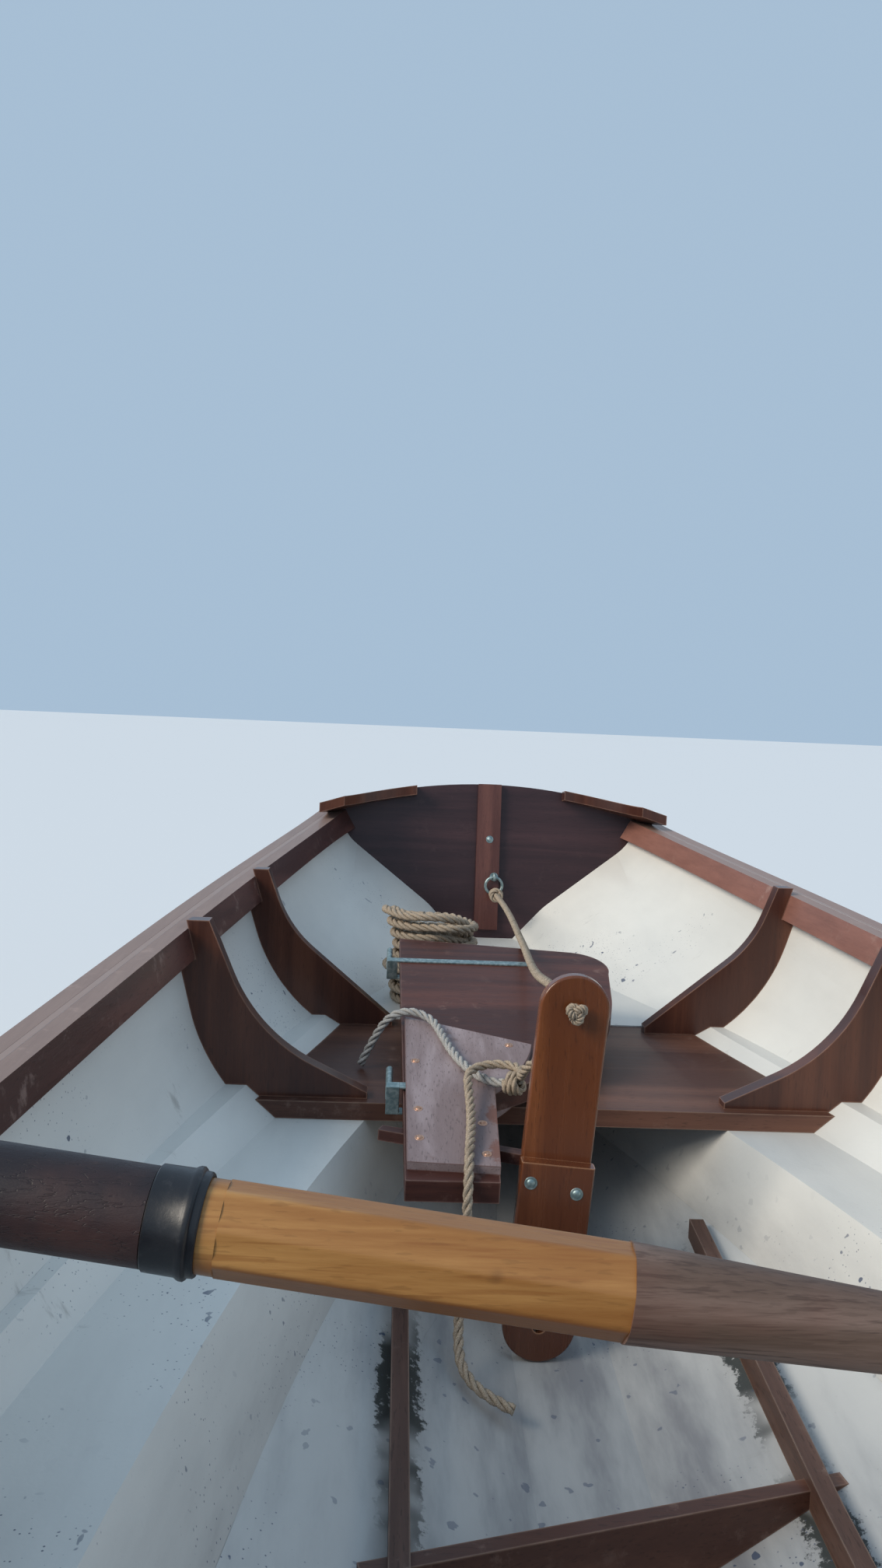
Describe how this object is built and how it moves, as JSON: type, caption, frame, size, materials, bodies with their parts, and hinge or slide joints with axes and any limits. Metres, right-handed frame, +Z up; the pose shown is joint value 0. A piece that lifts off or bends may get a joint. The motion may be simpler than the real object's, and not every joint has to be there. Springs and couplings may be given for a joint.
{
  "type": "rowing gig",
  "caption": "Coastal rowing gig with a moulded hull, wineglass transom, wooden gunwales, thwarts, swivel rowlocks, oars and an unshipped rudder with its yoke.",
  "frame": {"origin": "amidships on the centreline, at the waterline of the boat afloat", "axes": "+X to the bow, +Y to port, +Z up"},
  "size_m": [7.4898, 3.8248, 0.965],
  "materials": {
    "moulding": "worn pale gel coat",
    "transom_wood": "dark stained and varnished",
    "doubler_wood": "red-brown varnish",
    "mahogany": "worn varnish",
    "knee_varnish": "gloss varnish",
    "seat_wood": "worn varnish",
    "rail_wood": "worn varnish",
    "galvanised": "dull galvanised",
    "grip_wood": "bare and hand-worn",
    "oar_pine": "gloss varnish",
    "collar_black": "satin",
    "oar_leather": "greased",
    "rudder_wood": "worn dark varnish",
    "cheek_wood": "weathered",
    "yoke_wood": "gloss varnish",
    "tan_rope": "three-strand, worn",
    "blue_rope": "three-strand, worn"
  },
  "bodies": {
    "boat": {"hull_shell": "moulding", "transom": "transom_wood", "transom_doubler": "doubler_wood", "quarter_knees": "knee_varnish", "inwale_port": "mahogany", "inwale_starboard": "mahogany", "rub_rail_port": "mahogany", "rub_rail_starboard": "mahogany", "breasthook": "mahogany", "keel": "mahogany", "stem": "mahogany", "side_tank_port": "moulding", "side_tank_starboard": "moulding", "floor": "moulding", "stern_tank": "moulding", "bow_tank": "moulding", "thwart_1": "seat_wood", "thwart_2": "seat_wood", "thwart_3": "seat_wood", "thwart_4": "seat_wood", "cox_seat": "seat_wood", "cox_knees_fore": "knee_varnish", "cox_knees_aft": "knee_varnish", "thwart_knees": "knee_varnish", "stretcher_rails": "rail_wood", "stretchers": "seat_wood", "rowlock_blocks": "mahogany", "rowlock_sockets": "galvanised", "stowed_oar_grips": "grip_wood", "stowed_oar_looms": "oar_pine", "stowed_oar_collars": "collar_black", "stowed_oar_leathers": "oar_leather", "rudder_blade": "rudder_wood", "rudder_cheeks": "cheek_wood", "rudder_bar": "rudder_wood", "yoke_upper_arm": "yoke_wood", "yoke_lower_arm": "yoke_wood", "rudder_pintles": "galvanised", "gudgeons": "galvanised", "ring_bolt": "galvanised", "transom_ring": "galvanised", "rudder_line": "blue_rope", "yoke_line": "tan_rope", "upper_yoke_line": "tan_rope", "stopper_knot": "tan_rope", "mooring_coil": "tan_rope"},
    "stroke_oar": {"rowlock_1": "galvanised", "stroke_oar_grip": "grip_wood", "stroke_oar_loom": "oar_pine", "stroke_oar_collar": "collar_black", "stroke_oar_leather": "oar_leather"},
    "rowlock_2": {"rowlock_2": "galvanised"},
    "rowlock_3": {"rowlock_3": "galvanised"},
    "rowlock_4": {"rowlock_4": "galvanised"}
  },
  "joints": [
    {"name": "stroke_oar_swing", "type": "hinge", "parent": "boat", "child": "stroke_oar", "pos_m": [-1.49, -0.54235, 0.39058], "axis": [0, 0, 1], "range_deg": [-45, 42]},
    {"name": "rowlock_2_swivel", "type": "hinge", "parent": "boat", "child": "rowlock_2", "pos_m": [-0.54, 0.60132, 0.37965], "axis": [0, 0, 1], "continuous": true},
    {"name": "rowlock_3_swivel", "type": "hinge", "parent": "boat", "child": "rowlock_3", "pos_m": [0.41, -0.61992, 0.38251], "axis": [0, 0, 1], "continuous": true},
    {"name": "rowlock_4_swivel", "type": "hinge", "parent": "boat", "child": "rowlock_4", "pos_m": [1.36, 0.56895, 0.41114], "axis": [0, 0, 1], "continuous": true}
  ]
}
